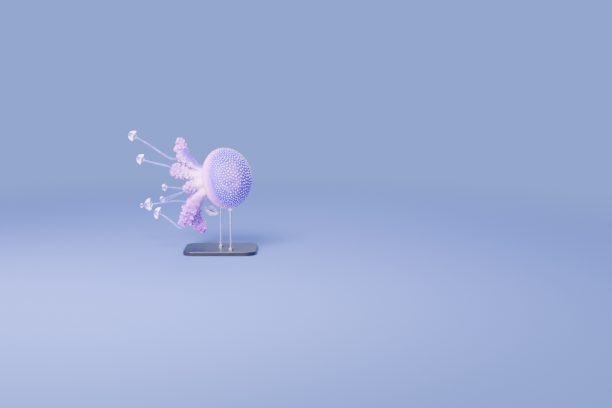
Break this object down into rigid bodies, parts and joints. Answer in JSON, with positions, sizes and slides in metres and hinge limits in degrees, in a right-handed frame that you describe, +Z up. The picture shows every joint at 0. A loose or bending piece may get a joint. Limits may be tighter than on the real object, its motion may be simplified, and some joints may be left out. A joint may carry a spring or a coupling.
{
  "type": "jellyfish",
  "caption": "White-spotted jellyfish swimming on its side: domed bell, frilled oral arms and trailing filaments with clubs, held on a plain display stand.",
  "frame": {"origin": "middle of the underside of the stand's base", "axes": "+Z up; +X to the viewer's right in the main view; the crown of the bell points 36 degrees from +X towards -Y and 11 degrees up"},
  "size_m": [0.6704, 0.5168, 0.5812],
  "materials": {
    "bell_jelly": "smooth, wet, translucent",
    "margin_jelly": "smooth, wet",
    "disc_flesh": "smooth, wet",
    "arm_flesh": "smooth, wet",
    "frill_flesh": "wet, finely ruffled",
    "filament_flesh": "smooth, wet, translucent",
    "club_flesh": "smooth, wet",
    "base_lacquer": "matte lacquer",
    "rod_steel": "satin"
  },
  "bodies": {
    "root": {"arm_1_frill": "frill_flesh", "arm_1_shaft": "arm_flesh", "arm_2_frill": "frill_flesh", "arm_2_shaft": "arm_flesh", "arm_3_frill": "frill_flesh", "arm_3_shaft": "arm_flesh", "arm_4_frill": "frill_flesh", "arm_4_shaft": "arm_flesh", "arm_5_frill": "frill_flesh", "arm_5_shaft": "arm_flesh", "arm_6_frill": "frill_flesh", "arm_6_shaft": "arm_flesh", "arm_7_frill": "frill_flesh", "arm_7_shaft": "arm_flesh", "arm_8_frill": "frill_flesh", "arm_8_shaft": "arm_flesh", "arm_disc": "disc_flesh", "bell_crown": "bell_jelly", "bell_margin": "margin_jelly", "bell_side": "bell_jelly", "club_1": "club_flesh", "club_2": "club_flesh", "club_3": "club_flesh", "club_4": "club_flesh", "club_5": "club_flesh", "club_6": "club_flesh", "club_7": "club_flesh", "club_8": "club_flesh", "filament_1_1": "filament_flesh", "filament_1_2": "filament_flesh", "filament_2_1": "filament_flesh", "filament_2_2": "filament_flesh", "filament_3_1": "filament_flesh", "filament_3_2": "filament_flesh", "filament_4_1": "filament_flesh", "filament_4_2": "filament_flesh", "filament_5_1": "filament_flesh", "filament_5_2": "filament_flesh", "filament_6_1": "filament_flesh", "filament_7_1": "filament_flesh", "filament_7_2": "filament_flesh", "filament_8_1": "filament_flesh", "filament_8_2": "filament_flesh", "stand_base": "base_lacquer", "stand_rod_arms": "rod_steel", "stand_rod_bell": "rod_steel"}
  },
  "joints": []
}
